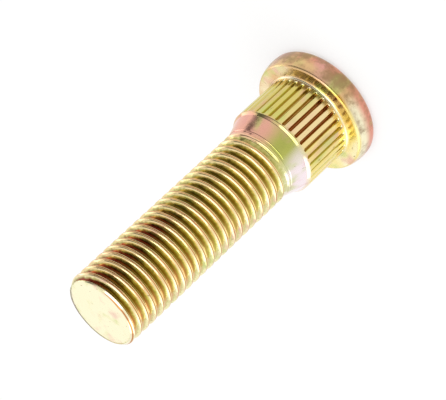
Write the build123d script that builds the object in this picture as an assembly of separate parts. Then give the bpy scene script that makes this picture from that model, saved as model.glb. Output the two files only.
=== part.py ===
"""Press-in wheel stud: flat round head, splined shoulder, short cone neck and an M12 x 1.5 threaded end.

One forged and rolled piece, in millimetres. It stands on its head: the centre of the head's outer face is the
origin, and +Z runs along the axis towards the tip of the thread. The thread is cut as plain rings, one to a pitch.
"""
import math
import os

from build123d import *

# Thread: major diameter, pitch, flat end and the length from the head's underside to the tip
THREAD_D = 11.9
PITCH = 1.5
TIP_FACE_D = 9.6
UNDER_HEAD_L = 46.5

# Head: flat underside with a broken edge, rounded outer rim
HEAD_D = 19.2
HEAD_H = 4.0
HEAD_FACE_ROUND = 1.0
HEAD_SEAT_EDGE = 0.3

# Splined shoulder: ribs with V grooves between them, which stop short of the head and run out at the lead-in
SPLINE_D = 14.3
SPLINE_H = 9.0
SPLINE_TEETH = 36
GROOVE_SHARE = 0.46
GROOVE_DEPTH = 0.32
COLLAR_H = 0.45
LEAD_H = 0.35

# Cone between the shoulder and the thread
NECK_BIG_D = 13.6
NECK_H = 2.6

# Sizes that follow from the ones above
thread_r = THREAD_D / 2
tip_r = TIP_FACE_D / 2
chamfer_h = thread_r - tip_r
head_r = HEAD_D / 2
spline_r = SPLINE_D / 2
neck_big_r = NECK_BIG_D / 2
z_seat = HEAD_H
z_shoulder = z_seat + SPLINE_H
z_lead = z_shoulder - LEAD_H
z_neck = z_shoulder + NECK_H
z_tip = z_seat + UNDER_HEAD_L

# Turned outline, from the middle of the head's outer face round to the middle of the tip
outline = [
    (0, 0),
    (head_r, 0),
    (head_r, z_seat - HEAD_SEAT_EDGE),
    (head_r - HEAD_SEAT_EDGE, z_seat),
    (spline_r, z_seat),
    (spline_r, z_lead),
    (neck_big_r, z_shoulder),
    (thread_r, z_neck),
    (thread_r, z_tip - chamfer_h),
    (tip_r, z_tip),
    (0, z_tip),
]
stud = revolve(Plane.XZ * make_face(Polyline(*outline, close=True)), Axis.Z)

# Forged rim: a large round at the head's outer face
rim = stud.edges().filter_by(GeomType.CIRCLE).sort_by(Axis.Z)[0]
stud = fillet(rim, HEAD_FACE_ROUND)


def thread_ring(z, depth):
    """A ring with 60 degree flanks that cuts one pitch's groove to a depth, wider than the bar to clear its crest."""
    tan_flank = math.tan(math.radians(30))
    rise = 0.1 * PITCH
    half = (depth + rise) * tan_flank
    vee = make_face(Polyline((thread_r - depth, z), (thread_r + rise, z - half), (thread_r + rise, z + half), close=True))
    return revolve(Plane.XZ * vee, Axis.Z)


# Full grooves leave a crest flat of an eighth of the pitch; the two next to the neck are shallower, where it runs out
full_depth = 0.4375 * PITCH * math.sqrt(3)
first_z = z_neck + 0.7 * PITCH
grooves = int((z_tip - chamfer_h - first_z) / PITCH) + 1
depths = [full_depth * min(1.0, (i + 1) / 3) for i in range(grooves)]
stud = stud - [thread_ring(first_z + i * PITCH, depth) for i, depth in enumerate(depths)]

# Spline grooves: V prisms with a sloping end at the head and an open one at the lead-in
half_angle = math.radians(GROOVE_SHARE * 180 / SPLINE_TEETH)
half_width = spline_r * math.sin(half_angle)
groove_r = spline_r - GROOVE_DEPTH
out_r = spline_r + GROOVE_DEPTH
out_half = half_width * (out_r - groove_r) / (spline_r * math.cos(half_angle) - groove_r)
z_low = z_seat + COLLAR_H
z_high = z_shoulder + LEAD_H
vee = make_face(Polyline((groove_r, 0), (out_r, -out_half), (out_r, out_half), close=True))
prism = extrude(Pos(0, 0, z_low - 2 * GROOVE_DEPTH) * vee, z_high - z_low + 2 * GROOVE_DEPTH)
slope = [
    (groove_r - GROOVE_DEPTH, z_low + 2 * GROOVE_DEPTH),
    (out_r + GROOVE_DEPTH, z_low - 2 * GROOVE_DEPTH),
    (out_r + GROOVE_DEPTH, z_high + LEAD_H),
    (groove_r - GROOVE_DEPTH, z_high + LEAD_H),
]
cutter = prism & extrude(Plane.XZ * make_face(Polyline(*slope, close=True)), 2 * out_half, both=True)
stud = stud - [place * cutter for place in PolarLocations(0, SPLINE_TEETH, start_angle=90 / SPLINE_TEETH)]

os.makedirs("parts", exist_ok=True)
export_step(stud, "parts/wheel_stud.step")
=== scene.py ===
"""Yellow-chromated press-in wheel stud, standing on its head on a plain white floor.

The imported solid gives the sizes. The stud's skin is worked out here as three surfaces of revolution with
detail: the threaded shank with its true right-hand helix, the splined shoulder with its cone neck, and
the head. Lengths are in metres unless a docstring says millimetres.
"""

import logging
import math
from abc import ABC, abstractmethod
from dataclasses import dataclass
from enum import Enum

import bpy
import numpy as np
from mathutils import Matrix, Vector

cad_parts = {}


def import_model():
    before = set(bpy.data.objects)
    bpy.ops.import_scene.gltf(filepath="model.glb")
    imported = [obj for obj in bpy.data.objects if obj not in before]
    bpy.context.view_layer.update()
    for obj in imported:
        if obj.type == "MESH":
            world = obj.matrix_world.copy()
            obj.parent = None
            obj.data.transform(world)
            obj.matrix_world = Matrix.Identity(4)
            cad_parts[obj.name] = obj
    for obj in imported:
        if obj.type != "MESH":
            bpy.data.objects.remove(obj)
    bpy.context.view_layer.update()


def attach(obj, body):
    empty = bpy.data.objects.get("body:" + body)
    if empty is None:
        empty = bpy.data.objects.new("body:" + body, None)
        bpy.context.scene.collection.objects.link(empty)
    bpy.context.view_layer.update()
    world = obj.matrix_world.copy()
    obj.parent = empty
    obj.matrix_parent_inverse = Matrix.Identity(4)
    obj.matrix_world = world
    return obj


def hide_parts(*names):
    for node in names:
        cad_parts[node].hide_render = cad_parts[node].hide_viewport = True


log = logging.getLogger("wheel_stud")

NODE = "wheel_stud"
BODY = "root"
HOLLOW = "hollow"
MM = 0.001
FULL_TURN = 2.0 * math.pi
WHITE = (1.0, 1.0, 1.0, 1.0)
NOISE_MIDDLE = 0.5
PHOTO_WIDTH_PX = 446
PHOTO_HEIGHT_PX = 400

Colour = tuple[float, float, float, float]
Triple = tuple[float, float, float]
Range = tuple[float, float]
Socket = bpy.types.NodeSocket
Feed = Socket | float | tuple[float, ...]


def from_screen(red: int, green: int, blue: int) -> Colour:
    """Turn a screen colour into the linear values that shaders take.

    A screen's curve is a straight line near black, and a power of the lifted value above that.

    Args:
        red: Red, 0 to 255.
        green: Green, 0 to 255.
        blue: Blue, 0 to 255.

    Returns:
        The three linear values, and 1 for a colour that covers fully.
    """
    top, toe, slope, lift, power = 255.0, 0.04045, 12.92, 0.055, 2.4
    share = np.array([red, green, blue]) / top
    linear = np.where(share <= toe, share / slope, ((share + lift) / (1.0 + lift)) ** power)
    return (*linear.tolist(), 1.0)


def grey(level: float) -> Colour:
    """A grey of one linear level."""
    return (level, level, level, 1.0)


def in_metres(lengths: Range) -> Range:
    """Two lengths in millimetres, turned into metres."""
    return lengths[0] * MM, lengths[1] * MM


def direction(azimuth_deg: float, elevation_deg: float) -> Vector:
    """The direction in which a place lies from the stud.

    Args:
        azimuth_deg: Turn about the stud from the -Y side towards +X.
        elevation_deg: How far above the horizon.

    Returns:
        A vector of length 1.
    """
    turn, lift = math.radians(azimuth_deg), math.radians(elevation_deg)
    return Vector((math.sin(turn) * math.cos(lift), -math.cos(turn) * math.cos(lift), math.sin(lift)))


def soft_min(a: np.ndarray, b: np.ndarray | float, blend: float) -> np.ndarray:
    """The smaller of two values, with the corner where they meet rounded over a width.

    Args:
        a: First values.
        b: Second values.
        blend: Width of the rounding, in the unit of the values.

    Returns:
        min(a, b) less a parabola h * h * blend / 4, where h falls from 1 to 0 as the values part by the
        width.
    """
    h = np.clip(1.0 - np.abs(a - b) / blend, 0.0, 1.0)
    return np.minimum(a, b) - h * h * blend / 4.0


def soft_max(a: np.ndarray, b: np.ndarray | float, blend: float) -> np.ndarray:
    """The larger of two values, rounded where they meet, as soft_min turned upside down."""
    return -soft_min(-np.asarray(a), -np.asarray(b), blend)


def mesh_of_rings(
    name: str, radius: np.ndarray, height: np.ndarray, hollow: np.ndarray | None = None
) -> bpy.types.Object:
    """Make a closed skin from rings of points round the Z axis.

    Row i, column j stands at the angle 2 pi j / columns, at radius[i, j] and height[i]. Quads join
    neighbouring rings and wrap round the seam, and a fan of triangles to one point on the axis closes
    each end.

    Args:
        name: Name of the piece.
        radius: Radii in metres, rows by columns, from the lowest ring up.
        height: Heights in metres, one to a row.
        hollow: How far each point lies down in a groove, from 0 to 1, or along a crest's seam, from 0 to
            -1, or nothing for a skin with neither. The plating reads it to paint shade there.

    Returns:
        The new object, with its faces outwards and the depths in its attribute "hollow".
    """
    rows, columns = radius.shape
    angle = np.linspace(0.0, FULL_TURN, columns, endpoint=False)
    level = np.broadcast_to(height[:, None], radius.shape)
    wall = np.stack([radius * np.cos(angle), radius * np.sin(angle), level], axis=-1).reshape(-1, 3)
    poles = np.array([[0.0, 0.0, height[0]], [0.0, 0.0, height[-1]]])
    points = np.vstack([wall, poles])

    index = np.arange(rows * columns).reshape(rows, columns)
    beside = np.roll(index, -1, axis=1)
    quads = np.stack([index[:-1], beside[:-1], beside[1:], index[1:]], axis=-1).reshape(-1, 4)
    low = np.stack([np.full(columns, rows * columns), beside[0], index[0]], axis=-1)
    high = np.stack([np.full(columns, rows * columns + 1), index[-1], beside[-1]], axis=-1)

    mesh = bpy.data.meshes.new(name)
    mesh.from_pydata(points.tolist(), [], quads.tolist() + low.tolist() + high.tolist())
    mesh.polygons.foreach_set("use_smooth", np.ones(len(mesh.polygons), dtype=bool))
    depth = np.zeros(len(points), dtype=np.float32)
    if hollow is not None:
        depth[: rows * columns] = np.clip(hollow, -1.0, 1.0).ravel()
    mesh.attributes.new(HOLLOW, "FLOAT", "POINT").data.foreach_set("value", depth)
    mesh.update()
    piece = bpy.data.objects.new(name, mesh)
    bpy.context.scene.collection.objects.link(piece)
    return piece


class NodeTree:
    """A thin wrapper that adds shader nodes and feeds their inputs, by a link or with a plain value."""

    def __init__(self, tree: bpy.types.NodeTree) -> None:
        """Start from an empty tree."""
        self.tree = tree
        self.tree.nodes.clear()

    def feed(self, target: Socket, value: Feed) -> None:
        """Link an output to an input, or set the input to a plain value.

        Args:
            target: The input.
            value: The output, or the number, vector or colour.
        """
        if isinstance(value, bpy.types.NodeSocket):
            self.tree.links.new(value, target)
        else:
            target.default_value = value

    def add(self, kind: str, *values: Feed, **settings: object) -> bpy.types.Node:
        """Add a node, set its properties and feed its inputs in order.

        Args:
            kind: Blender's name of the node type.
            values: What the inputs take, from the first.
            settings: Properties of the node by name.

        Returns:
            The new node.
        """
        node = self.tree.nodes.new(kind)
        for name, value in settings.items():
            setattr(node, name, value)
        for target, value in zip(node.inputs, values):
            self.feed(target, value)
        return node

    def calc(self, operation: str, *values: Feed) -> Socket:
        """The result of a sum on numbers, named as Blender names it."""
        return self.add("ShaderNodeMath", *values, operation=operation).outputs["Value"]

    def step(
        self, value: Socket, ends: Range, levels: tuple[Feed, Feed] = (0.0, 1.0), soft: bool = True
    ) -> Socket:
        """Go from one level to another while a value runs between two ends.

        Args:
            value: The value that is read.
            ends: Where the step starts and ends.
            levels: The levels before and after it.
            soft: Whether it starts and ends softly, or runs straight.

        Returns:
            The level output.
        """
        kind = "SMOOTHSTEP" if soft else "LINEAR"
        node = self.add("ShaderNodeMapRange", interpolation_type=kind)
        self.feed(node.inputs["Value"], value)
        for name, given in zip(("From Min", "From Max", "To Min", "To Max"), (*ends, *levels)):
            self.feed(node.inputs[name], given)
        return node.outputs["Result"]

    def mix(self, share: Socket, under: Socket, over: Feed) -> Socket:
        """Mix one colour over another.

        Args:
            share: How much of the upper colour shows.
            under: The lower colour.
            over: The upper colour, from a node or plain.

        Returns:
            The mixed colour output.
        """
        node = self.add("ShaderNodeMix", data_type="RGBA")
        for name, given in zip(("Factor", "A", "B"), (share, under, over)):
            self.feed(node.inputs[name], given)
        return node.outputs["Result"]

    def reach(self, vector: Socket, direction: Triple) -> Socket:
        """How far a vector reaches along a direction, as their dot product."""
        node = self.add("ShaderNodeVectorMath", vector, direction, operation="DOT_PRODUCT")
        return node.outputs["Value"]


@dataclass(frozen=True)
class Mottle:
    """A noise in the plating.

    Attributes:
        scale: Cells to a metre.
        detail: How many finer layers lie over the first.
        roughness: Strength of each layer against the one before it.
    """

    scale: float
    detail: float = 2.0
    roughness: float = 0.5

    def add(self, nodes: NodeTree, place: Socket) -> bpy.types.Node:
        """Add the noise to a tree.

        Args:
            nodes: The tree.
            place: Coordinates in metres.

        Returns:
            The noise node.
        """
        noise = nodes.add("ShaderNodeTexNoise")
        nodes.feed(noise.inputs["Vector"], place)
        noise.inputs["Scale"].default_value = self.scale
        noise.inputs["Detail"].default_value = self.detail
        noise.inputs["Roughness"].default_value = self.roughness
        return noise


@dataclass(frozen=True)
class Patch:
    """Soft patches of one colour in the plating.

    Attributes:
        colour: Their colour.
        mottle: The noise that places them.
        edge: Noise values between which a patch comes in.
    """

    colour: Colour
    mottle: Mottle
    edge: Range


class Side(Enum):
    """Where round the stud a zone's colour lies."""

    LEFT = "left"
    MIDDLE = "middle"
    RIGHT = "right"


@dataclass(frozen=True)
class Tint:
    """Colours round one zone of the stud: the plating's tint with painted reflection from side to side,
    and, for the grooves, painted shade.

    Attributes:
        low: Height above the head's face at which the zone starts, in millimetres.
        high: Height at which it ends, in millimetres.
        left: Colour on the +X side.
        middle: Colour between the sides.
        right: Colour on the -X side, mostly lighter, as a painted highlight.
    """

    low: float
    high: float
    left: Colour
    middle: Colour
    right: Colour


@dataclass(frozen=True)
class ChromateFinish:
    """Zinc plating with a yellow chromate skin, whose tint drifts along the stud and, as painted
    reflection and highlight, round it, with painted shade down the grooves.

    Attributes:
        skin: Tints of the crests, ribs and plain walls, from the head up, with painted reflection from
            side to side and painted highlights.
        groove_shade: Painted shade down the grooves, as darker colours, from the head up.
        patches: Patches over the skin, from the lowest.
        flank: Colour of the painted half-shade band between the lit crest and the shaded root.
        rim_scale: Colour of the forged rim's dark scales.
        seam: Colour of the painted shade line along a crest's seam, for the dark that the crest's middle
            reflects.
        left_full: Distance from the axis at which the +X side's colour is full, in millimetres.
        right_start: Distance at which the -X side's colour starts, in millimetres.
        hollow_start: The same down in the grooves.
        right_full: Distance at which it is full, in millimetres.
        waver: Noise that shifts the tints' borders.
        waver_reach: How far it shifts them along each axis, in millimetres.
        speckle: Noise that makes the edge of the painted groove shade on a flank ragged.
        speckle_reach: How much depth it adds or takes.
        sunk_step: Depths between which the skin's tint gives way to the painted groove shade.
        seam_step: Values of the depth between which the seam's painted shade line comes in.
        flank_share: Strength of the painted half-shade band between crest and root.
        patch_stretch: Scale of the patches' coordinates, less along the stud.
        patch_share: Strength of the patches.
        forging: Noise that places the rim's scales.
        forging_step: Noise values between which a scale comes in.
        forging_share: Strength of the scales.
        rim_step: Heights between which the scales come in, in millimetres.
        dulling: Noise that makes the gloss uneven.
        rolled_dullness: Lowest and highest roughness of the thread.
        forged_dullness: How much rougher the head is.
        forged_step: Heights between which that wears off, in millimetres.
        grain: Noise of the fine grain.
        grain_strength: Strength of the grain.
        grain_height: Height of the grain, in millimetres.
    """

    skin: tuple[Tint, ...]
    groove_shade: tuple[Tint, ...]
    # Painted shade down the grooves, darker than the skin's tint.
    patches: tuple[Patch, ...]
    flank: Colour
    rim_scale: Colour
    seam: Colour
    left_full: float = 3.6
    right_start: float = 1.4
    hollow_start: float = 1.6
    right_full: float = 5.0
    waver: Mottle = Mottle(220.0)
    waver_reach: Triple = (3.0, 3.0, 0.5)
    speckle: Mottle = Mottle(1700.0)
    speckle_reach: float = 0.55
    sunk_step: Range = (0.22, 0.74)
    seam_step: Range = (-0.3, -0.8)
    flank_share: float = 3.0
    patch_stretch: Triple = (1.0, 1.0, 0.45)
    patch_share: float = 0.70
    forging: Mottle = Mottle(330.0, detail=4.0, roughness=0.65)
    forging_step: Range = (0.40, 0.62)
    forging_share: float = 0.75
    rim_step: Range = (3.7, 3.3)
    dulling: Mottle = Mottle(600.0)
    rolled_dullness: Range = (0.06, 0.20)
    forged_dullness: float = 0.16
    forged_step: Range = (3.5, 6.5)
    grain: Mottle = Mottle(2200.0, detail=3.0)
    grain_strength: float = 0.25
    grain_height: float = 0.03

    def material(self) -> bpy.types.Material:
        """The plating's material, made once and then shared.

        Returns:
            The material.
        """
        found = bpy.data.materials.get("yellow_chromate")
        if found is not None:
            return found
        made = bpy.data.materials.new("yellow_chromate")
        made.use_nodes = True
        self._wire(NodeTree(made.node_tree))
        return made

    def _wire(self, nodes: NodeTree) -> None:
        """Build the shader: tints by place with painted reflection and highlight, painted shade down the
        grooves and along the crests' seams, a painted half-shade on the flanks, patches, scales and a fine
        grain.

        Args:
            nodes: The empty tree to fill.
        """
        place = nodes.add("ShaderNodeTexCoord").outputs["Object"]
        split = nodes.add("ShaderNodeSeparateXYZ", self._wavered(nodes, place))
        depth = nodes.add("ShaderNodeAttribute", attribute_name=HOLLOW).outputs["Fac"]
        # Painted shade down the grooves: sunk is where the grooves' darker colours take over from the
        # skin's.
        sunk = nodes.step(self._speckled(nodes, place, depth), self.sunk_step)
        # The skin's tint drifts along the stud; from side to side it carries painted reflection, lighter
        # on the -X side as a painted highlight.
        colour = self._tinted(nodes, split, self.skin, self.right_start)
        for patch in self.patches:
            colour = self._patched(nodes, place, colour, patch)
        colour = nodes.mix(self._rim_scales(nodes, place, split.outputs["Z"]), colour, self.rim_scale)
        # Painted half-shade: a green band half way down each flank, between the lit crest and the shaded
        # root.
        colour = nodes.mix(self._flank_half_shade(nodes, sunk), colour, self.flank)
        # Painted shade: a dark line along each crest's seam, for the dark that the crest's middle
        # reflects.
        colour = nodes.mix(nodes.step(depth, self.seam_step), colour, self.seam)
        # Painted shade down the grooves, laid over the skin's tint.
        colour = nodes.mix(sunk, colour, self._tinted(nodes, split, self.groove_shade, self.hollow_start))

        shader = nodes.add("ShaderNodeBsdfPrincipled")
        shader.inputs["Metallic"].default_value = 1.0
        nodes.feed(shader.inputs["Roughness"], self._dullness(nodes, place, split.outputs["Z"]))
        nodes.feed(shader.inputs["Base Color"], colour)
        nodes.feed(shader.inputs["Normal"], self._grained(nodes, place))
        nodes.add("ShaderNodeOutputMaterial", shader.outputs["BSDF"])

    def _wavered(self, nodes: NodeTree, place: Socket) -> Socket:
        """Push the coordinates about by a soft noise, so that the tints have uneven borders.

        Args:
            nodes: The tree.
            place: Object coordinates.

        Returns:
            The shifted coordinates.
        """
        noise = self.waver.add(nodes, place).outputs["Color"]
        middle = (NOISE_MIDDLE, NOISE_MIDDLE, NOISE_MIDDLE)
        centred = nodes.add("ShaderNodeVectorMath", noise, middle, operation="SUBTRACT").outputs["Vector"]
        reach = tuple(length * MM for length in self.waver_reach)
        shifted = nodes.add("ShaderNodeVectorMath", centred, reach, place, operation="MULTIPLY_ADD")
        return shifted.outputs["Vector"]

    def _speckled(self, nodes: NodeTree, place: Socket, depth: Socket) -> Socket:
        """The depth in a groove, less even by a fine noise, so that the edge of the painted groove shade
        on a flank is ragged.

        Args:
            nodes: The tree.
            place: Object coordinates.
            depth: The depth, from 0 to 1.

        Returns:
            The uneven depth output.
        """
        noise = self.speckle.add(nodes, place).outputs["Fac"]
        centred = nodes.calc("SUBTRACT", noise, NOISE_MIDDLE)
        return nodes.calc("MULTIPLY_ADD", centred, self.speckle_reach, depth)

    def _column(self, nodes: NodeTree, height: Socket, tints: tuple[Tint, ...], side: Side) -> Socket:
        """One side's colours up the stud, level within a zone and drifting between zones.

        Args:
            nodes: The tree.
            height: Height in metres.
            tints: The zones, from the lowest.
            side: The side.

        Returns:
            The colour output.
        """
        marks = [(end, getattr(tint, side.value)) for tint in tints for end in (tint.low, tint.high)]
        top = tints[-1].high
        ramp = nodes.add("ShaderNodeValToRGB", nodes.step(height, (0.0, top * MM), soft=False))
        elements = ramp.color_ramp.elements
        half_way = 0.5
        while len(elements) < len(marks):
            elements.new(half_way)
        for element, (level, colour) in zip(elements, marks):
            element.position = level / top
            element.color = colour
        return ramp.outputs["Color"]

    def _tinted(
        self, nodes: NodeTree, split: bpy.types.Node, tints: tuple[Tint, ...], start: float
    ) -> Socket:
        """Colour by height, and from side to side between the three colours of each zone, which carry
        painted reflection and highlight.

        Args:
            nodes: The tree.
            split: The wavered coordinates, one by one.
            tints: The zones, from the lowest.
            start: Distance at which the -X side's colour starts, in millimetres.

        Returns:
            The colour output.
        """
        across, height = split.outputs["X"], split.outputs["Z"]
        to_left = nodes.step(across, in_metres((0.0, self.left_full)))
        to_right = nodes.step(across, in_metres((-start, -self.right_full)))
        colour = self._column(nodes, height, tints, Side.MIDDLE)
        colour = nodes.mix(to_left, colour, self._column(nodes, height, tints, Side.LEFT))
        return nodes.mix(to_right, colour, self._column(nodes, height, tints, Side.RIGHT))

    def _patched(self, nodes: NodeTree, place: Socket, under: Socket, patch: Patch) -> Socket:
        """Lay soft patches of a colour over another, drawn out along the stud.

        Args:
            nodes: The tree.
            place: Object coordinates.
            under: The colour below.
            patch: The patches.

        Returns:
            The mixed colour output.
        """
        drawn = nodes.add("ShaderNodeMapping")
        nodes.feed(drawn.inputs["Vector"], place)
        drawn.inputs["Scale"].default_value = self.patch_stretch
        noise = patch.mottle.add(nodes, drawn.outputs["Vector"]).outputs["Fac"]
        return nodes.mix(nodes.step(noise, patch.edge, (0.0, self.patch_share)), under, patch.colour)

    def _rim_scales(self, nodes: NodeTree, place: Socket, height: Socket) -> Socket:
        """Where the head's rim has small uneven scales, as forging leaves it.

        Args:
            nodes: The tree.
            place: Object coordinates.
            height: Height in metres.

        Returns:
            The share output.
        """
        noise = self.forging.add(nodes, place).outputs["Fac"]
        scales = nodes.step(noise, self.forging_step)
        rim = nodes.step(height, in_metres(self.rim_step))
        return nodes.calc("MULTIPLY", nodes.calc("MULTIPLY", scales, rim), self.forging_share)

    def _flank_half_shade(self, nodes: NodeTree, sunk: Socket) -> Socket:
        """Where a painted half-shade band lies between the lit crest and the shaded root: sunk * (1 -
        sunk), fullest half way down.

        Args:
            nodes: The tree.
            sunk: The step from crest to root.

        Returns:
            The share output.
        """
        band = nodes.calc("MULTIPLY", sunk, nodes.calc("SUBTRACT", 1.0, sunk))
        return nodes.calc("MULTIPLY", band, self.flank_share)

    def _dullness(self, nodes: NodeTree, place: Socket, height: Socket) -> Socket:
        """Roughness: the forged head is duller than the rolled thread, and both are a little uneven.

        Args:
            nodes: The tree.
            place: Object coordinates.
            height: Height in metres.

        Returns:
            The roughness output.
        """
        noise = self.dulling.add(nodes, place).outputs["Fac"]
        rolled = nodes.step(noise, (0.0, 1.0), self.rolled_dullness, soft=False)
        forged = nodes.step(height, in_metres(self.forged_step), (self.forged_dullness, 0.0), soft=False)
        return nodes.calc("ADD", rolled, forged)

    def _grained(self, nodes: NodeTree, place: Socket) -> Socket:
        """Fine unevenness of the plated surface.

        Args:
            nodes: The tree.
            place: Object coordinates.

        Returns:
            The normal output.
        """
        bump = nodes.add("ShaderNodeBump")
        nodes.feed(bump.inputs["Height"], self.grain.add(nodes, place).outputs["Fac"])
        bump.inputs["Strength"].default_value = self.grain_strength
        bump.inputs["Distance"].default_value = self.grain_height * MM
        return bump.outputs["Normal"]


@dataclass(frozen=True)
class StudSizes:
    """Driving sizes of the stud in millimetres.

    They are the solid's, but for a wider tip flat and deeper spline grooves.

    Attributes:
        thread_r: Radius of the thread's crests.
        tip_face_r: Radius of the flat tip.
        under_head: Length from the head's underside to the tip.
        head_r: Radius of the head.
        head_h: Thickness of the head.
        head_face_round: Rounding between the head's outer face and its rim.
        head_seat_edge: Rounding between the rim and the underside.
        spline_r: Radius over the ribs.
        spline_h: Length of the shoulder.
        spline_teeth: Number of ribs.
        groove_share: Share of a rib's pitch that its groove takes.
        groove_depth: Depth of a groove.
        collar_h: Plain length between the head and the grooves.
        lead_h: Length of the lead-in at the shoulder's far end.
        neck_big_r: Radius of the neck's cone at the shoulder.
        neck_h: Length of the cone.
    """

    thread_r: float = 5.95
    tip_face_r: float = 5.4
    under_head: float = 46.5
    head_r: float = 9.6
    head_h: float = 4.0
    head_face_round: float = 1.0
    head_seat_edge: float = 0.3
    spline_r: float = 7.15
    spline_h: float = 9.0
    spline_teeth: int = 36
    groove_share: float = 0.46
    groove_depth: float = 0.5
    collar_h: float = 0.45
    lead_h: float = 0.35
    neck_big_r: float = 6.8
    neck_h: float = 2.6

    @property
    def z_seat(self) -> float:
        """Height of the head's underside."""
        return self.head_h

    @property
    def z_shoulder(self) -> float:
        """Height of the shoulder's far end."""
        return self.z_seat + self.spline_h

    @property
    def z_neck(self) -> float:
        """Height at which the cone meets the thread's diameter."""
        return self.z_shoulder + self.neck_h

    @property
    def z_tip(self) -> float:
        """Height of the flat tip."""
        return self.z_seat + self.under_head


@dataclass
class StudPiece(ABC):
    """A length of the stud that is dressed as part of the one solid.

    Attributes:
        sizes: The stud's driving sizes.
    """

    sizes: StudSizes

    @abstractmethod
    def build(self, finish: ChromateFinish) -> bpy.types.Object:
        """Work out the skin and dress it.

        Args:
            finish: The plating.

        Returns:
            The dressed skin.
        """

    def dress(self, piece: bpy.types.Object, finish: ChromateFinish) -> bpy.types.Object:
        """Give a finished skin its material and tie it to the frame.

        Args:
            piece: The skin.
            finish: The plating that covers it.

        Returns:
            The same object.
        """
        piece.data.materials.append(finish.material())
        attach(piece, BODY)
        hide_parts(NODE)
        log.info("%s: %d faces", piece.name, len(piece.data.polygons))
        return piece


@dataclass
class ThreadedShank(StudPiece):
    """The rolled thread from the neck to the tip, with its sizes in millimetres.

    Attributes:
        start_deg: Angle at which a crest passes the height of the neck.
        rise: Rise of the helix in one turn as the photograph shows it.
        flank_deg: Slope of a flank, from a plane across the axis.
        crest_half: Half width of a crest.
        crest_round: Rounding of a crest's corners.
        depth: Depth of the groove.
        root_round: Rounding at the groove's root.
        runout: Length over which the groove fades towards the neck.
        runout_start: How far down the neck the groove starts.
        runout_round: Rounding where the run-out's cone meets a flank.
        seam_half: Half width of the seam that rolling leaves along a crest.
        seam_depth: Depth of that seam.
        wear: How far the crests are nicked.
        nick_waves: Waves that place the nicks: cycles round the stud, and radians to a millimetre up it.
        nick_level: Sum of the waves above which a nick starts.
        tip_round: Rounding between the thread and the tip's chamfer.
        overlap: How far the skin runs down inside the neck.
        tip_core: Share of the tip's radius at which its smallest ring lies.
        tip_rows: Rings on the tip, with its edge.
        columns: Points round the axis.
        rows_per_pitch: Rings to a pitch.
    """

    start_deg: float = 215.6
    rise: float = 1.562
    flank_deg: float = 30.0
    crest_half: float = 0.19
    crest_round: float = 0.20
    depth: float = 0.92
    root_round: float = 0.30
    runout: float = 2.9
    runout_start: float = 0.1
    runout_round: float = 0.08
    seam_half: float = 0.11
    seam_depth: float = 0.02
    wear: float = 0.035
    nick_waves: tuple[Range, ...] = ((11.0, 2.3), (17.0, -3.1), (5.0, 4.7))
    nick_level: float = 1.2
    tip_round: float = 0.10
    overlap: float = 0.6
    tip_core: float = 0.02
    tip_rows: int = 12
    columns: int = 108
    rows_per_pitch: int = 36

    def build(self, finish: ChromateFinish) -> bpy.types.Object:
        """Work out the helical skin and dress it.

        With q the height above or below the nearest crest of the helix z = rise * angle / 2 pi, the
        groove's drop is (q - crest half width) / tan 30, never less than 0 nor more than the depth, with
        both corners rounded. The seam is full over the inner half of its width. A 45 degree cone takes
        the tip's corner off, and a slow cone fills the groove where the thread runs out.

        Args:
            finish: The plating.

        Returns:
            The dressed skin.
        """
        s = self.sizes
        low = s.z_neck - self.overlap
        z = np.linspace(low, s.z_tip, int((s.z_tip - low) / self.rise * self.rows_per_pitch))
        angle = np.linspace(0.0, FULL_TURN, self.columns, endpoint=False)
        turn = (angle + math.radians(self.start_deg)) / FULL_TURN
        phase = (z[:, None] - s.z_neck) / self.rise - turn[None, :]
        q = np.abs(phase - np.round(phase)) * self.rise

        flank = (q - self.crest_half) / math.tan(math.radians(self.flank_deg))
        drop = soft_min(soft_max(flank, 0.0, self.crest_round), self.depth, self.root_round)
        grown = np.clip((z - s.z_neck + self.runout_start) / self.runout, 0.0, 1.0)[:, None]
        floor = np.broadcast_to(grown * self.depth, drop.shape)
        drop = np.maximum(soft_min(drop, floor, self.runout_round), 0.0)
        seam = np.clip(2.0 - 2.0 * q / self.seam_half, 0.0, 1.0) * grown
        radius = s.thread_r - drop - seam * self.seam_depth - self._nicks(angle, z)
        chamfer = np.broadcast_to((s.tip_face_r + (s.z_tip - z))[:, None], radius.shape)
        radius = soft_min(radius, chamfer, self.tip_round)

        tip = np.linspace(1.0, self.tip_core, self.tip_rows)[1:, None] * radius[-1:]
        sunk = drop / self.depth
        # The depths, and the seam as negative depths, go into the hollow attribute, by which the plating
        # paints shade down the grooves and a shade line along the seam.
        hollow = np.vstack([np.where(seam > sunk, -seam, sunk), np.zeros_like(tip)])
        radius = np.vstack([radius, tip])
        z = np.concatenate([z, np.full(len(tip), s.z_tip)])
        return self.dress(mesh_of_rings("thread", radius * MM, z * MM, hollow), finish)

    def _nicks(self, angle: np.ndarray, z: np.ndarray) -> np.ndarray:
        """Small dents of handling, where waves of unlike pitch peak together.

        Args:
            angle: Angles of the columns.
            z: Heights of the rows, in millimetres.

        Returns:
            Depths in millimetres, rows by columns.
        """
        turn, height = angle[None, :], z[:, None]
        waves = sum(np.sin(cycles * turn + climb * height) for cycles, climb in self.nick_waves)
        return self.wear * np.clip(waves - self.nick_level, 0.0, 1.0)


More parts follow.
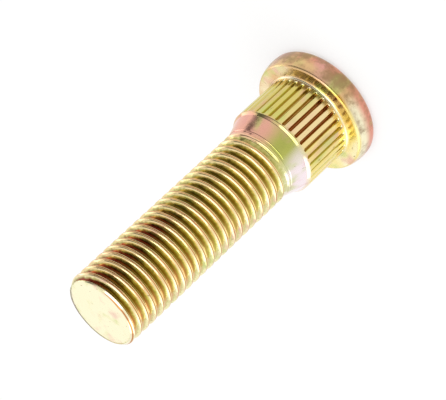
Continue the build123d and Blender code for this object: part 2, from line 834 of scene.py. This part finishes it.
@dataclass
class SplinedShoulder(StudPiece):
    """The ribbed press-fit shoulder and the cone to the thread, with their sizes in millimetres.

    Attributes:
        first_groove_deg: Angle of the first groove's middle.
        rim: Plain band between the grooves' ends and the lead-in.
        fillet: Radius of the corner between the shoulder and the head's underside.
        edge_round: Rounding of the edges at the lead-in and the cone.
        overlap: How far the skin runs down inside the head.
        fillet_band: Height above the head up to which the rings are closest.
        end_band: Length at each end of the shoulder in which the grooves end.
        edge_band: How far past the shoulder the rings stay close.
        band_rows: Rings from the head up: at the fillet, the grooves' near ends, the plain ribs, the far
            ends with the lead-in, and the cone.
        columns_per_tooth: Points round the axis to each rib and groove.
    """

    first_groove_deg: float = 2.5
    rim: float = 0.12
    fillet: float = 0.35
    edge_round: float = 0.06
    overlap: float = 0.01
    fillet_band: float = 0.4
    end_band: float = 1.2
    edge_band: float = 0.3
    band_rows: tuple[int, ...] = (18, 14, 6, 42, 16)
    columns_per_tooth: int = 20

    def build(self, finish: ChromateFinish) -> bpy.types.Object:
        """Work out the ribbed skin and dress it.

        The wall is a cylinder that a lead-in cone and then the neck's cone take over. With d a point's
        distance, along the wall, from the nearest groove's middle line, the drop is the depth times
        1 - (d / half width) squared. The line stops short at both ends, so a groove ends in a half
        round. A quarter circle fills the corner at the head's underside.

        Args:
            finish: The plating.

        Returns:
            The dressed skin.
        """
        s = self.sizes
        z = self._heights()
        pitch_deg = 360.0 / s.spline_teeth
        pitch = math.radians(pitch_deg) * s.spline_r
        angle_deg = np.linspace(0.0, 360.0, s.spline_teeth * self.columns_per_tooth, endpoint=False)
        phase = (angle_deg - self.first_groove_deg) / pitch_deg
        aside = np.abs(phase - np.round(phase))[None, :] * pitch
        half = s.groove_share * pitch / 2.0
        first = s.z_seat + s.collar_h + half
        last = s.z_shoulder - s.lead_h - self.rim - half
        past = np.maximum(np.maximum(first - z, z - last), 0.0)[:, None]
        groove = np.clip(1.0 - (np.hypot(aside, past) / half) ** 2, 0.0, 1.0)
        ribs = s.spline_r - groove * s.groove_depth

        lead = s.neck_big_r + (s.z_shoulder - z) * (s.spline_r - s.neck_big_r) / s.lead_h
        cone = s.neck_big_r + (s.z_shoulder - z) * (s.neck_big_r - s.thread_r) / s.neck_h
        ends = np.where(z < s.z_shoulder, lead, cone)
        radius = soft_min(ribs, np.broadcast_to(ends[:, None], ribs.shape), self.edge_round)
        below = np.clip(s.z_seat + self.fillet - z, 0.0, self.fillet)
        radius = radius + (self.fillet - np.sqrt(self.fillet**2 - below**2))[:, None]
        # The groove depths go into the hollow attribute, by which the plating paints shade down the
        # grooves.
        return self.dress(mesh_of_rings("splined_shoulder", radius * MM, z * MM, groove), finish)

    def _heights(self) -> np.ndarray:
        """Heights of the rings, close together at the fillet, the grooves' ends and the lead-in.

        Returns:
            Heights in millimetres, from the lowest.
        """
        s = self.sizes
        stops = (
            s.z_seat - self.overlap,
            s.z_seat + self.fillet_band,
            s.z_seat + self.end_band,
            s.z_shoulder - self.end_band,
            s.z_shoulder + self.edge_band,
        )
        bands = [
            np.linspace(low, high, rows, endpoint=False)
            for low, high, rows in zip(stops, stops[1:], self.band_rows)
        ]
        return np.concatenate([*bands, np.linspace(stops[-1], s.z_neck, self.band_rows[-1])])


@dataclass
class StudHead(StudPiece):
    """The forged round head, with its sizes in millimetres.

    Attributes:
        belly_height: Height at which the rim is widest.
        belly: How far the rim has drawn in at the underside's edge.
        core: Radius of the outer face's smallest ring.
        overlap: How far the underside runs in under the shoulder.
        face_rows: Rings on the outer face.
        arc_rows: Rings on each rounded edge.
        rim_rows: Rings on the rim, with those it shares with the edges.
        seat_rows: Rings on the underside, with the one it shares with the edge.
        columns: Points round the axis.
    """

    belly_height: float = 1.8
    belly: float = 0.4
    core: float = 0.05
    overlap: float = 0.6
    face_rows: int = 10
    arc_rows: int = 14
    rim_rows: int = 12
    seat_rows: int = 14
    columns: int = 240

    def build(self, finish: ChromateFinish) -> bpy.types.Object:
        """Work out the turned skin and dress it.

        The section runs out along the flat outer face, round a quarter circle, up the rim, round a
        smaller quarter circle and in along the flat underside to the shoulder. The rim bulges: it draws
        in with the square of the height above or below its widest ring.

        Args:
            finish: The plating.

        Returns:
            The dressed skin.
        """
        s = self.sizes
        big, small = s.head_face_round, s.head_seat_edge
        arc = np.linspace(0.0, FULL_TURN / 4.0, self.arc_rows)
        face = np.linspace(self.core, s.head_r - big, self.face_rows, endpoint=False)
        rim = np.linspace(big, s.head_h - small, self.rim_rows)[1:-1]
        seat_edge = s.head_r - small - self.belly
        seat = np.linspace(seat_edge, s.spline_r - self.overlap, self.seat_rows)[1:]
        face_edge_r = s.head_r - big + big * np.sin(arc)
        seat_edge_r = s.head_r - small + small * np.cos(arc)
        r = np.concatenate([face, face_edge_r, np.full(len(rim), s.head_r), seat_edge_r])
        face_edge_z = big - big * np.cos(arc)
        seat_edge_z = s.head_h - small + small * np.sin(arc)
        z = np.concatenate([np.zeros(len(face)), face_edge_z, rim, seat_edge_z])
        bulge = self.belly * ((z - self.belly_height) / (s.head_h - self.belly_height)) ** 2
        r = np.concatenate([r - np.where(z > 0.0, bulge, 0.0), seat])
        z = np.concatenate([z, np.full(len(seat), s.head_h)])
        radius = np.repeat(r[:, None], self.columns, axis=1)
        return self.dress(mesh_of_rings("head", radius * MM, z * MM), finish)


@dataclass(frozen=True)
class PhotoCamera:
    """The photograph's camera, found by fitting the stud's rings and silhouette.

    Attributes:
        elevation_deg: How far above the horizon the camera stands.
        azimuth_deg: Turn about the stud from the -Y side.
        axis_deg: Direction of the tip in the picture, clockwise from the right.
        focal_px: Focal length in pixels.
        depth: Distance of the anchor along the line of sight.
        anchor_height: Height of the anchor, a point on the axis near the tip.
        anchor_px: Where the anchor falls in the picture.
        sensor_mm: Width of the sensor in millimetres.
        clip_start: Distance from which the camera sees.
    """

    elevation_deg: float = 30.46
    azimuth_deg: float = -1.5
    axis_deg: float = 136.83
    focal_px: float = 2347.0
    depth: float = 0.320
    anchor_height: float = 0.0501
    anchor_px: tuple[float, float] = (101.6, 311.3)
    sensor_mm: float = 36.0
    clip_start: float = 0.01

    def build(self) -> bpy.types.Object:
        """Make the camera and set it as the scene's.

        In the picture the stud's axis points along the direction that is a quarter turn above the line of
        sight. The picture's right and down are that direction and the one across it, turned by the slant.

        Returns:
            The camera object.
        """
        back = direction(self.azimuth_deg, self.elevation_deg)
        tipwards = direction(self.azimuth_deg, self.elevation_deg + 90.0)
        aside = tipwards.cross(back)
        slant = math.radians(self.axis_deg)
        right = tipwards * math.cos(slant) - aside * math.sin(slant)
        down = tipwards * math.sin(slant) + aside * math.cos(slant)
        side_px = self.anchor_px[0] - PHOTO_WIDTH_PX / 2
        down_px = self.anchor_px[1] - PHOTO_HEIGHT_PX / 2
        scale = self.depth / self.focal_px
        anchor = Vector((0.0, 0.0, self.anchor_height))
        place = anchor + back * self.depth - right * (side_px * scale) - down * (down_px * scale)

        data = bpy.data.cameras.new("photo_camera")
        data.sensor_width = self.sensor_mm
        data.lens = self.focal_px * self.sensor_mm / PHOTO_WIDTH_PX
        data.clip_start = self.clip_start
        camera = bpy.data.objects.new("photo_camera", data)
        axes = Matrix((right, -down, back)).transposed().to_4x4()
        camera.matrix_world = Matrix.Translation(place) @ axes
        bpy.context.scene.collection.objects.link(camera)
        bpy.context.scene.camera = camera
        return camera


class LampRole(Enum):
    """What a softbox does."""

    FAR_SIDE = "far_side"
    RIGHT_SIDE = "right_side"
    LEFT_SIDE = "left_side"
    ABOVE = "above"


@dataclass(frozen=True)
class Softbox:
    """A square area lamp that looks at the middle of the stud.

    Attributes:
        role: What it does.
        azimuth_deg: Where it stands, turned about the stud from the -Y side.
        elevation_deg: How far above the horizon.
        distance: Distance from the stud.
        width: Side of the square.
        radiance: Brightness of its face, where 1 is white.
        aim_height: Height of the point that it looks at.
    """

    role: LampRole
    azimuth_deg: float
    elevation_deg: float
    distance: float
    width: float
    radiance: float
    aim_height: float = 0.025

    def build(self) -> bpy.types.Object:
        """Make the lamp. A square lamp's power is its radiance times pi times its area.

        Returns:
            The lamp object.
        """
        data = bpy.data.lights.new(self.role.value, "AREA")
        data.shape = "SQUARE"
        data.size = self.width
        data.energy = self.radiance * math.pi * self.width**2
        lamp = bpy.data.objects.new(self.role.value, data)
        towards = direction(self.azimuth_deg, self.elevation_deg)
        lamp.location = Vector((0.0, 0.0, self.aim_height)) + towards * self.distance
        lamp.rotation_mode = "QUATERNION"
        lamp.rotation_quaternion = towards.to_track_quat("Z", "Y")
        bpy.context.scene.collection.objects.link(lamp)
        log.info("lamp %s", self.role.value)
        return lamp


@dataclass(frozen=True)
class Studio:
    """White floor, pale surroundings and a dim side behind the camera.

    Attributes:
        softboxes: The lamps.
        dim_side: Level direction of the dim part of the surroundings.
        dim_spread: Cosines of the angles from that direction between which it goes from pale to dim.
        dim_foot: Sines of the elevations between which the dim part sets in.
        dim_top: Sines of the elevations between which it goes back to pale.
        dim_level: Brightness of the dim part.
        low_level: Brightness below the dim part, down to the horizon.
        bright_level: Brightness of the rest.
        floor_half: Half the floor's width.
        floor_grey: Grey of the floor for the light that bounces off it.
        floor_glow: Brightness that the floor has by itself, to the camera.
        floor_matt: Grey of the matt layer that adds to the glow and takes the shadow, to the camera.
        floor_level: Brightness of the floor round the stud, in the metal.
        floor_dim: Brightness of the floor on the dim side, in the metal.
        floor_fall: Distances between which the floor goes from pale to dim, in the metal.
        floor_rise: Distances between which it goes back to the low level of the surroundings.
    """

    softboxes: tuple[Softbox, ...]
    dim_side: Triple = (0.75, -0.66, 0.0)
    dim_spread: Range = (0.05, 0.50)
    dim_foot: Range = (0.05, 0.30)
    dim_top: Range = (0.60, 0.80)
    dim_level: float = 0.12
    low_level: float = 0.90
    bright_level: float = 0.95
    floor_half: float = 3.0
    floor_grey: float = 0.85
    floor_glow: float = 0.66
    floor_matt: float = 0.34
    floor_level: float = 1.0
    floor_dim: float = 0.14
    floor_fall: Range = (0.044, 0.098)
    floor_rise: Range = (0.135, 0.19)

    def build(self) -> None:
        """Lay the floor, light the surroundings and hang the lamps."""
        self._floor()
        self._surroundings()
        for box in self.softboxes:
            box.build()

    def _floor(self) -> None:
        """Lay a wide plain floor, a square at the height of the head's face."""
        half = self.floor_half
        mesh = bpy.data.meshes.new("floor")
        corners = [(-half, -half, 0.0), (half, -half, 0.0), (half, half, 0.0), (-half, half, 0.0)]
        mesh.from_pydata(corners, [], [(0, 1, 2, 3)])
        floor = bpy.data.objects.new("floor", mesh)
        bpy.context.scene.collection.objects.link(floor)
        mesh.materials.append(self._paper())

    def _paper(self) -> bpy.types.Material:
        """Paper that is white to the camera with a faint shadow, and dims on one side in the metal.

        Returns:
            The floor's material.
        """
        paper = bpy.data.materials.new("white_paper")
        paper.use_nodes = True
        nodes = NodeTree(paper.node_tree)
        ray = nodes.add("ShaderNodeLightPath").outputs
        mirrored = nodes.calc("MAXIMUM", ray["Is Glossy Ray"], ray["Is Transmission Ray"])
        lit = nodes.add("ShaderNodeBsdfDiffuse", grey(self.floor_grey)).outputs["BSDF"]
        in_metal = nodes.add("ShaderNodeEmission", WHITE, self._floor_in_metal(nodes)).outputs["Emission"]
        unseen = nodes.add("ShaderNodeMixShader", mirrored, lit, in_metal).outputs["Shader"]
        glow = nodes.add("ShaderNodeEmission", WHITE, self.floor_glow).outputs["Emission"]
        matt = nodes.add("ShaderNodeBsdfDiffuse", grey(self.floor_matt)).outputs["BSDF"]
        seen = nodes.add("ShaderNodeAddShader", glow, matt).outputs["Shader"]
        choice = nodes.add("ShaderNodeMixShader", ray["Is Camera Ray"], unseen, seen).outputs["Shader"]
        nodes.add("ShaderNodeOutputMaterial", choice)
        return paper

    def _floor_in_metal(self, nodes: NodeTree) -> Socket:
        """How bright the floor is in the metal: white round the stud, falling off along the dim side.

        Args:
            nodes: The floor's tree.

        Returns:
            The level output.
        """
        place = nodes.add("ShaderNodeTexCoord").outputs["Object"]
        reach = nodes.reach(place, self.dim_side)
        far = nodes.step(reach, self.floor_rise, (self.floor_dim, self.low_level))
        return nodes.step(reach, self.floor_fall, (self.floor_level, far))

    def _surroundings(self) -> None:
        """Pale surroundings that fall to a dim level low down on one side, and white to the camera."""
        world = bpy.data.worlds.new("studio")
        world.use_nodes = True
        bpy.context.scene.world = world
        nodes = NodeTree(world.node_tree)
        way = nodes.add("ShaderNodeTexCoord").outputs["Generated"]
        height = nodes.add("ShaderNodeSeparateXYZ", way).outputs["Z"]
        aimed = nodes.step(nodes.reach(way, self.dim_side), self.dim_spread)
        low = nodes.step(height, self.dim_top, (1.0, 0.0))
        dim = nodes.step(height, self.dim_foot, (self.low_level, self.dim_level))
        share = nodes.calc("MULTIPLY", aimed, low)
        level = nodes.step(share, (0.0, 1.0), (self.bright_level, dim), soft=False)
        sky = nodes.add("ShaderNodeBackground", WHITE, level).outputs["Background"]
        backdrop = nodes.add("ShaderNodeBackground", WHITE).outputs["Background"]
        ray = nodes.add("ShaderNodeLightPath").outputs
        choice = nodes.add("ShaderNodeMixShader", ray["Is Camera Ray"], sky, backdrop).outputs["Shader"]
        nodes.add("ShaderNodeOutputWorld", choice)


def yellow_chromate() -> ChromateFinish:
    """The plating seen on the stud, with painted reflection, highlight and shade in its colours.

    Returns:
        The finish, with its tints from the head to the tip.
    """
    rose = from_screen(228, 154, 132)
    umber = from_screen(202, 146, 114)
    tan = from_screen(230, 190, 138)
    cream = from_screen(252, 244, 208)
    butter = from_screen(252, 242, 188)
    wheat = from_screen(250, 224, 166)
    straw = from_screen(218, 202, 114)
    gold = from_screen(246, 226, 142)
    beige = from_screen(242, 218, 164)
    salmon = from_screen(240, 178, 156)
    lime = from_screen(188, 190, 98)
    lavender = from_screen(252, 236, 240)
    brass = from_screen(222, 172, 72)
    brown = from_screen(160, 100, 50)
    bronze = from_screen(200, 178, 98)
    moss = from_screen(154, 130, 64)
    maroon = from_screen(148, 74, 56)
    khaki = from_screen(174, 150, 70)
    clay = from_screen(230, 208, 152)
    russet = from_screen(228, 186, 138)
    pink = from_screen(228, 166, 158)
    green = from_screen(200, 212, 124)
    nick = from_screen(150, 112, 66)
    return ChromateFinish(
        # The sides differ as painted reflection; the -X side's colours are mostly lighter, as a painted
        # highlight.
        skin=(
            Tint(0.0, 1.5, rose, umber, rose),  # rim, near the outer face: darker, as painted shade
            Tint(2.7, 3.4, tan, tan, cream),  # rim, near the underside: lighter, as a painted highlight, palest on the -X side
            Tint(3.8, 4.05, tan, brass, gold),  # underside
            Tint(4.15, 4.4, cream, cream, cream),  # fillet: a painted highlight ring, cream all round
            Tint(4.7, 12.2, straw, beige, gold),  # ribs
            Tint(13.1, 15.6, salmon, lime, lavender),  # neck: near white on the -X side, as a painted highlight
            Tint(17.5, 49.0, wheat, wheat, butter),  # thread
            Tint(50.4, 50.5, cream, cream, cream),  # tip: paler than the thread, as a painted highlight
        ),
        # Painted shade down the grooves: darker colours than the skin's.
        groove_shade=(
            Tint(5.0, 12.5, bronze, brown, bronze),  # painted shade in the grooves between the ribs
            Tint(17.0, 33.0, moss, khaki, clay),  # painted shade in the thread's grooves, near the neck
            Tint(37.0, 50.5, maroon, khaki, russet),  # painted shade in the thread's grooves, near the tip
        ),
        patches=(
            Patch(pink, Mottle(300.0, detail=3.0), (0.53, 0.76)),
            Patch(green, Mottle(360.0, detail=3.0), (0.52, 0.76)),
            Patch(nick, Mottle(1500.0, detail=3.0), (0.66, 0.76)),
        ),
        # Painted half-shade half way down each flank.
        flank=green,
        rim_scale=from_screen(150, 120, 84),
        # Painted shade line along each crest's seam.
        seam=from_screen(206, 140, 84),
    )


def studio() -> Studio:
    """The soft white studio round the stud.

    Returns:
        The floor, surroundings and lamps.
    """
    far_side = Softbox(
        role=LampRole.FAR_SIDE,
        azimuth_deg=180.0,
        elevation_deg=40.0,
        distance=0.6,
        width=0.5,
        radiance=0.12,
    )
    right_side = Softbox(
        role=LampRole.RIGHT_SIDE,
        azimuth_deg=-100.0,
        elevation_deg=25.0,
        distance=0.5,
        width=0.4,
        radiance=0.9,
    )
    left_side = Softbox(
        role=LampRole.LEFT_SIDE,
        azimuth_deg=118.0,
        elevation_deg=16.0,
        distance=0.5,
        width=0.3,
        radiance=1.0,
    )
    above = Softbox(
        role=LampRole.ABOVE,
        azimuth_deg=0.0,
        elevation_deg=66.0,
        distance=0.5,
        width=0.4,
        radiance=1.6,
    )
    return Studio(softboxes=(far_side, right_side, left_side, above))


def main() -> None:
    """Build the stud's skin, the studio and the camera in order."""
    logging.basicConfig(level=logging.INFO, format="%(name)s: %(message)s")
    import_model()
    bpy.context.scene.view_settings.view_transform = "Standard"
    sizes = StudSizes()
    finish = yellow_chromate()
    for piece in (ThreadedShank(sizes), SplinedShoulder(sizes), StudHead(sizes)):
        piece.build(finish)
    studio().build()
    PhotoCamera().build()


if __name__ == "__main__":
    main()
